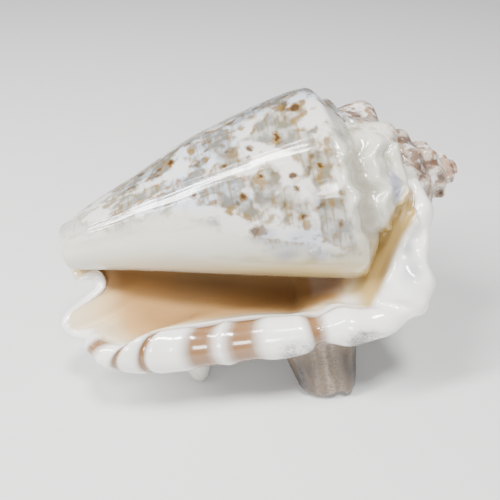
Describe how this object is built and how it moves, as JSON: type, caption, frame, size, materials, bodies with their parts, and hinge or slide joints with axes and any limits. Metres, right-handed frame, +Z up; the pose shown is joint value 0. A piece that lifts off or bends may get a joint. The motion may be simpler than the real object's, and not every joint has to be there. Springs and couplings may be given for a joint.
{
  "type": "conch shell",
  "caption": "Heavy strombid conch shell with a low knobbed spire, a glazed mouth and a thick flared outer lip, resting on the knobs of its back.",
  "frame": {"origin": "centre of the bounding box on the surface that the shell rests on", "axes": "+X along the shell towards the apex, -Y out of the mouth towards the viewer, +Z up"},
  "size_m": [0.0784, 0.052, 0.0549],
  "materials": {
    "shell_porcelain": "glazed cream-white shell with tan and rust mottling, chalky on the spire"
  },
  "bodies": {
    "root": {"conch_shell": "shell_porcelain"}
  },
  "joints": []
}
